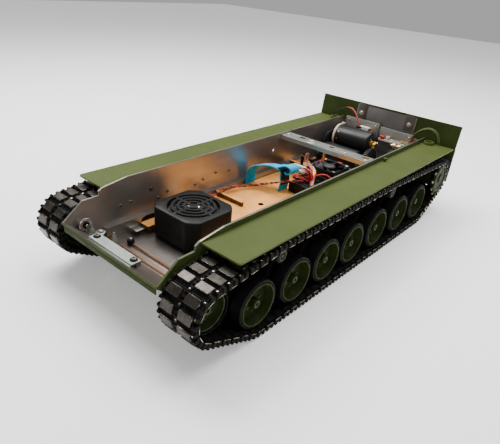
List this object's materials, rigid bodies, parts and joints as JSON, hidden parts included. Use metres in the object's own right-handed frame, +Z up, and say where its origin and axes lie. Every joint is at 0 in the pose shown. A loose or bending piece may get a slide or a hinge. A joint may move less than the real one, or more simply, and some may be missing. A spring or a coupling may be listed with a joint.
{
  "type": "tracked model vehicle chassis",
  "caption": "Open model tank chassis: metal tub with fenders, sprung road wheels on trailing arms, looped tracks, sprockets driven by geared motors, and electronics on a board.",
  "frame": {"origin": "on the ground under the middle of the vehicle's overall box", "axes": "+Z up, the front faces -Y, the vehicle's left side is +X"},
  "size_m": [0.214, 0.4718, 0.113],
  "materials": {
    "bare_aluminium": "brushed and lightly stained",
    "green_paint": "satin olive paint",
    "wheel_green": "satin dark green",
    "black_rubber": "matt",
    "spring_steel": "copper coloured",
    "track_steel": "dark, worn bright on the pads",
    "black_plastic": "fine texture",
    "motor_black": "satin",
    "brass": "machined",
    "zinc_steel": "zinc plated",
    "fibreboard": "smooth fibreboard",
    "blue_strap": "brushed loop",
    "red_wire": "insulation",
    "yellow_wire": "insulation"
  },
  "bodies": {
    "chassis": {"hull_tub": "bare_aluminium", "fender_left": "green_paint", "fender_right": "green_paint", "rear_plate": "green_paint", "mud_flap_left": "black_rubber", "mud_flap_right": "black_rubber", "track_left": "track_steel", "motor_left": "motor_black", "track_right": "track_steel", "motor_right": "motor_black", "crossbar": "zinc_steel", "front_bracket": "zinc_steel", "base_board": "fibreboard", "speaker_box": "black_plastic", "battery_strap": "blue_strap", "receiver_box": "black_plastic", "speed_controller": "black_plastic", "speaker_lead": "red_wire", "ribbon_lead": "yellow_wire"},
    "sprocket_left": {"sprocket_left": "wheel_green"},
    "idler_left": {"idler_left": "wheel_green"},
    "return_roller_left_1": {"return_roller_left_1": "wheel_green"},
    "return_roller_left_2": {"return_roller_left_2": "wheel_green"},
    "counter_gear_left": {"counter_gear_left": "black_plastic"},
    "pinion_left": {"pinion_left": "brass"},
    "swing_arm_left_1": {"swing_arm_left_1": "spring_steel"},
    "road_wheel_left_1": {"road_wheel_left_1": "wheel_green"},
    "swing_arm_left_2": {"swing_arm_left_2": "spring_steel"},
    "road_wheel_left_2": {"road_wheel_left_2": "wheel_green"},
    "swing_arm_left_3": {"swing_arm_left_3": "spring_steel"},
    "road_wheel_left_3": {"road_wheel_left_3": "wheel_green"},
    "swing_arm_left_4": {"swing_arm_left_4": "spring_steel"},
    "road_wheel_left_4": {"road_wheel_left_4": "wheel_green"},
    "swing_arm_left_5": {"swing_arm_left_5": "spring_steel"},
    "road_wheel_left_5": {"road_wheel_left_5": "wheel_green"},
    "swing_arm_left_6": {"swing_arm_left_6": "spring_steel"},
    "road_wheel_left_6": {"road_wheel_left_6": "wheel_green"},
    "swing_arm_left_7": {"swing_arm_left_7": "spring_steel"},
    "road_wheel_left_7": {"road_wheel_left_7": "wheel_green"},
    "sprocket_right": {"sprocket_right": "wheel_green"},
    "idler_right": {"idler_right": "wheel_green"},
    "return_roller_right_1": {"return_roller_right_1": "wheel_green"},
    "return_roller_right_2": {"return_roller_right_2": "wheel_green"},
    "counter_gear_right": {"counter_gear_right": "black_plastic"},
    "pinion_right": {"pinion_right": "brass"},
    "swing_arm_right_1": {"swing_arm_right_1": "spring_steel"},
    "road_wheel_right_1": {"road_wheel_right_1": "wheel_green"},
    "swing_arm_right_2": {"swing_arm_right_2": "spring_steel"},
    "road_wheel_right_2": {"road_wheel_right_2": "wheel_green"},
    "swing_arm_right_3": {"swing_arm_right_3": "spring_steel"},
    "road_wheel_right_3": {"road_wheel_right_3": "wheel_green"},
    "swing_arm_right_4": {"swing_arm_right_4": "spring_steel"},
    "road_wheel_right_4": {"road_wheel_right_4": "wheel_green"},
    "swing_arm_right_5": {"swing_arm_right_5": "spring_steel"},
    "road_wheel_right_5": {"road_wheel_right_5": "wheel_green"},
    "swing_arm_right_6": {"swing_arm_right_6": "spring_steel"},
    "road_wheel_right_6": {"road_wheel_right_6": "wheel_green"},
    "swing_arm_right_7": {"swing_arm_right_7": "spring_steel"},
    "road_wheel_right_7": {"road_wheel_right_7": "wheel_green"},
    "fan_rotor": {"fan_rotor": "black_plastic"}
  },
  "joints": [
    {"name": "sprocket_left_spin", "type": "hinge", "parent": "chassis", "child": "sprocket_left", "pos_m": [0, 0.205, 0.05], "axis": [1, 0, 0], "continuous": true},
    {"name": "idler_left_spin", "type": "hinge", "parent": "chassis", "child": "idler_left", "pos_m": [0, -0.206, 0.0478], "axis": [1, 0, 0], "continuous": true},
    {"name": "return_roller_left_1_spin", "type": "hinge", "parent": "chassis", "child": "return_roller_left_1", "pos_m": [0, -0.133, 0.0693], "axis": [1, 0, 0], "continuous": true},
    {"name": "return_roller_left_2_spin", "type": "hinge", "parent": "chassis", "child": "return_roller_left_2", "pos_m": [0, 0.063, 0.0693], "axis": [1, 0, 0], "continuous": true},
    {"name": "counter_gear_left_spin", "type": "hinge", "parent": "chassis", "child": "counter_gear_left", "pos_m": [0, 0.18261, 0.05066], "axis": [1, 0, 0], "continuous": true},
    {"name": "pinion_left_spin", "type": "hinge", "parent": "chassis", "child": "pinion_left", "pos_m": [0, 0.192, 0.071], "axis": [1, 0, 0], "continuous": true},
    {"name": "swing_arm_left_1_bump", "type": "hinge", "parent": "chassis", "child": "swing_arm_left_1", "pos_m": [0, -0.17551, 0.034], "axis": [1, 0, 0], "range_deg": [0, 15], "stiffness_Nm_per_rad": 1.2, "springref_deg": -6.88},
    {"name": "road_wheel_left_1_spin", "type": "hinge", "parent": "swing_arm_left_1", "child": "road_wheel_left_1", "pos_m": [0, -0.154, 0.0294], "axis": [1, 0, 0], "continuous": true},
    {"name": "swing_arm_left_2_bump", "type": "hinge", "parent": "chassis", "child": "swing_arm_left_2", "pos_m": [0, -0.12351, 0.034], "axis": [1, 0, 0], "range_deg": [0, 15], "stiffness_Nm_per_rad": 1.2, "springref_deg": -6.88},
    {"name": "road_wheel_left_2_spin", "type": "hinge", "parent": "swing_arm_left_2", "child": "road_wheel_left_2", "pos_m": [0, -0.102, 0.0294], "axis": [1, 0, 0], "continuous": true},
    {"name": "swing_arm_left_3_bump", "type": "hinge", "parent": "chassis", "child": "swing_arm_left_3", "pos_m": [0, -0.07401, 0.034], "axis": [1, 0, 0], "range_deg": [0, 15], "stiffness_Nm_per_rad": 1.2, "springref_deg": -6.88},
    {"name": "road_wheel_left_3_spin", "type": "hinge", "parent": "swing_arm_left_3", "child": "road_wheel_left_3", "pos_m": [0, -0.0525, 0.0294], "axis": [1, 0, 0], "continuous": true},
    {"name": "swing_arm_left_4_bump", "type": "hinge", "parent": "chassis", "child": "swing_arm_left_4", "pos_m": [0, -0.02551, 0.034], "axis": [1, 0, 0], "range_deg": [0, 15], "stiffness_Nm_per_rad": 1.2, "springref_deg": -6.88},
    {"name": "road_wheel_left_4_spin", "type": "hinge", "parent": "swing_arm_left_4", "child": "road_wheel_left_4", "pos_m": [0, -0.004, 0.0294], "axis": [1, 0, 0], "continuous": true},
    {"name": "swing_arm_left_5_bump", "type": "hinge", "parent": "chassis", "child": "swing_arm_left_5", "pos_m": [0, 0.02699, 0.034], "axis": [1, 0, 0], "range_deg": [0, 15], "stiffness_Nm_per_rad": 1.2, "springref_deg": -6.88},
    {"name": "road_wheel_left_5_spin", "type": "hinge", "parent": "swing_arm_left_5", "child": "road_wheel_left_5", "pos_m": [0, 0.0485, 0.0294], "axis": [1, 0, 0], "continuous": true},
    {"name": "swing_arm_left_6_bump", "type": "hinge", "parent": "chassis", "child": "swing_arm_left_6", "pos_m": [0, 0.08099, 0.034], "axis": [1, 0, 0], "range_deg": [0, 15], "stiffness_Nm_per_rad": 1.2, "springref_deg": -6.88},
    {"name": "road_wheel_left_6_spin", "type": "hinge", "parent": "swing_arm_left_6", "child": "road_wheel_left_6", "pos_m": [0, 0.1025, 0.0294], "axis": [1, 0, 0], "continuous": true},
    {"name": "swing_arm_left_7_bump", "type": "hinge", "parent": "chassis", "child": "swing_arm_left_7", "pos_m": [0, 0.13349, 0.034], "axis": [1, 0, 0], "range_deg": [0, 15], "stiffness_Nm_per_rad": 1.2, "springref_deg": -6.88},
    {"name": "road_wheel_left_7_spin", "type": "hinge", "parent": "swing_arm_left_7", "child": "road_wheel_left_7", "pos_m": [0, 0.155, 0.0294], "axis": [1, 0, 0], "continuous": true},
    {"name": "sprocket_right_spin", "type": "hinge", "parent": "chassis", "child": "sprocket_right", "pos_m": [0, 0.205, 0.05], "axis": [1, 0, 0], "continuous": true},
    {"name": "idler_right_spin", "type": "hinge", "parent": "chassis", "child": "idler_right", "pos_m": [0, -0.206, 0.0478], "axis": [1, 0, 0], "continuous": true},
    {"name": "return_roller_right_1_spin", "type": "hinge", "parent": "chassis", "child": "return_roller_right_1", "pos_m": [0, -0.133, 0.0693], "axis": [1, 0, 0], "continuous": true},
    {"name": "return_roller_right_2_spin", "type": "hinge", "parent": "chassis", "child": "return_roller_right_2", "pos_m": [0, 0.063, 0.0693], "axis": [1, 0, 0], "continuous": true},
    {"name": "counter_gear_right_spin", "type": "hinge", "parent": "chassis", "child": "counter_gear_right", "pos_m": [0, 0.1845, 0.05903], "axis": [1, 0, 0], "continuous": true},
    {"name": "pinion_right_spin", "type": "hinge", "parent": "chassis", "child": "pinion_right", "pos_m": [0, 0.164, 0.05], "axis": [1, 0, 0], "continuous": true},
    {"name": "swing_arm_right_1_bump", "type": "hinge", "parent": "chassis", "child": "swing_arm_right_1", "pos_m": [0, -0.18521, 0.034], "axis": [1, 0, 0], "range_deg": [0, 15], "stiffness_Nm_per_rad": 1.2, "springref_deg": -6.88},
    {"name": "road_wheel_right_1_spin", "type": "hinge", "parent": "swing_arm_right_1", "child": "road_wheel_right_1", "pos_m": [0, -0.1637, 0.0294], "axis": [1, 0, 0], "continuous": true},
    {"name": "swing_arm_right_2_bump", "type": "hinge", "parent": "chassis", "child": "swing_arm_right_2", "pos_m": [0, -0.13321, 0.034], "axis": [1, 0, 0], "range_deg": [0, 15], "stiffness_Nm_per_rad": 1.2, "springref_deg": -6.88},
    {"name": "road_wheel_right_2_spin", "type": "hinge", "parent": "swing_arm_right_2", "child": "road_wheel_right_2", "pos_m": [0, -0.1117, 0.0294], "axis": [1, 0, 0], "continuous": true},
    {"name": "swing_arm_right_3_bump", "type": "hinge", "parent": "chassis", "child": "swing_arm_right_3", "pos_m": [0, -0.08371, 0.034], "axis": [1, 0, 0], "range_deg": [0, 15], "stiffness_Nm_per_rad": 1.2, "springref_deg": -6.88},
    {"name": "road_wheel_right_3_spin", "type": "hinge", "parent": "swing_arm_right_3", "child": "road_wheel_right_3", "pos_m": [0, -0.0622, 0.0294], "axis": [1, 0, 0], "continuous": true},
    {"name": "swing_arm_right_4_bump", "type": "hinge", "parent": "chassis", "child": "swing_arm_right_4", "pos_m": [0, -0.03521, 0.034], "axis": [1, 0, 0], "range_deg": [0, 15], "stiffness_Nm_per_rad": 1.2, "springref_deg": -6.88},
    {"name": "road_wheel_right_4_spin", "type": "hinge", "parent": "swing_arm_right_4", "child": "road_wheel_right_4", "pos_m": [0, -0.0137, 0.0294], "axis": [1, 0, 0], "continuous": true},
    {"name": "swing_arm_right_5_bump", "type": "hinge", "parent": "chassis", "child": "swing_arm_right_5", "pos_m": [0, 0.01729, 0.034], "axis": [1, 0, 0], "range_deg": [0, 15], "stiffness_Nm_per_rad": 1.2, "springref_deg": -6.88},
    {"name": "road_wheel_right_5_spin", "type": "hinge", "parent": "swing_arm_right_5", "child": "road_wheel_right_5", "pos_m": [0, 0.0388, 0.0294], "axis": [1, 0, 0], "continuous": true},
    {"name": "swing_arm_right_6_bump", "type": "hinge", "parent": "chassis", "child": "swing_arm_right_6", "pos_m": [0, 0.07129, 0.034], "axis": [1, 0, 0], "range_deg": [0, 15], "stiffness_Nm_per_rad": 1.2, "springref_deg": -6.88},
    {"name": "road_wheel_right_6_spin", "type": "hinge", "parent": "swing_arm_right_6", "child": "road_wheel_right_6", "pos_m": [0, 0.0928, 0.0294], "axis": [1, 0, 0], "continuous": true},
    {"name": "swing_arm_right_7_bump", "type": "hinge", "parent": "chassis", "child": "swing_arm_right_7", "pos_m": [0, 0.12379, 0.034], "axis": [1, 0, 0], "range_deg": [0, 15], "stiffness_Nm_per_rad": 1.2, "springref_deg": -6.88},
    {"name": "road_wheel_right_7_spin", "type": "hinge", "parent": "swing_arm_right_7", "child": "road_wheel_right_7", "pos_m": [0, 0.1453, 0.0294], "axis": [1, 0, 0], "continuous": true},
    {"name": "fan_spin", "type": "hinge", "parent": "chassis", "child": "fan_rotor", "pos_m": [0, 0.099, 0.06], "axis": [0, 0, 1], "continuous": true}
  ],
  "couplings": [
    {"joint": "idler_left_spin", "follows": "sprocket_left_spin", "ratio": 1.0829},
    {"joint": "return_roller_left_1_spin", "follows": "sprocket_left_spin", "ratio": 3.2647},
    {"joint": "return_roller_left_2_spin", "follows": "sprocket_left_spin", "ratio": 3.2647},
    {"joint": "counter_gear_left_spin", "follows": "sprocket_left_spin", "ratio": -2.5},
    {"joint": "pinion_left_spin", "follows": "sprocket_left_spin", "ratio": 9.1667},
    {"joint": "road_wheel_left_1_spin", "follows": "sprocket_left_spin", "ratio": 0.9867},
    {"joint": "road_wheel_left_2_spin", "follows": "sprocket_left_spin", "ratio": 0.9867},
    {"joint": "road_wheel_left_3_spin", "follows": "sprocket_left_spin", "ratio": 0.9867},
    {"joint": "road_wheel_left_4_spin", "follows": "sprocket_left_spin", "ratio": 0.9867},
    {"joint": "road_wheel_left_5_spin", "follows": "sprocket_left_spin", "ratio": 0.9867},
    {"joint": "road_wheel_left_6_spin", "follows": "sprocket_left_spin", "ratio": 0.9867},
    {"joint": "road_wheel_left_7_spin", "follows": "sprocket_left_spin", "ratio": 0.9867},
    {"joint": "idler_right_spin", "follows": "sprocket_right_spin", "ratio": 1.0829},
    {"joint": "return_roller_right_1_spin", "follows": "sprocket_right_spin", "ratio": 3.2647},
    {"joint": "return_roller_right_2_spin", "follows": "sprocket_right_spin", "ratio": 3.2647},
    {"joint": "counter_gear_right_spin", "follows": "sprocket_right_spin", "ratio": -2.5},
    {"joint": "pinion_right_spin", "follows": "sprocket_right_spin", "ratio": 9.1667},
    {"joint": "road_wheel_right_1_spin", "follows": "sprocket_right_spin", "ratio": 0.9867},
    {"joint": "road_wheel_right_2_spin", "follows": "sprocket_right_spin", "ratio": 0.9867},
    {"joint": "road_wheel_right_3_spin", "follows": "sprocket_right_spin", "ratio": 0.9867},
    {"joint": "road_wheel_right_4_spin", "follows": "sprocket_right_spin", "ratio": 0.9867},
    {"joint": "road_wheel_right_5_spin", "follows": "sprocket_right_spin", "ratio": 0.9867},
    {"joint": "road_wheel_right_6_spin", "follows": "sprocket_right_spin", "ratio": 0.9867},
    {"joint": "road_wheel_right_7_spin", "follows": "sprocket_right_spin", "ratio": 0.9867}
  ]
}
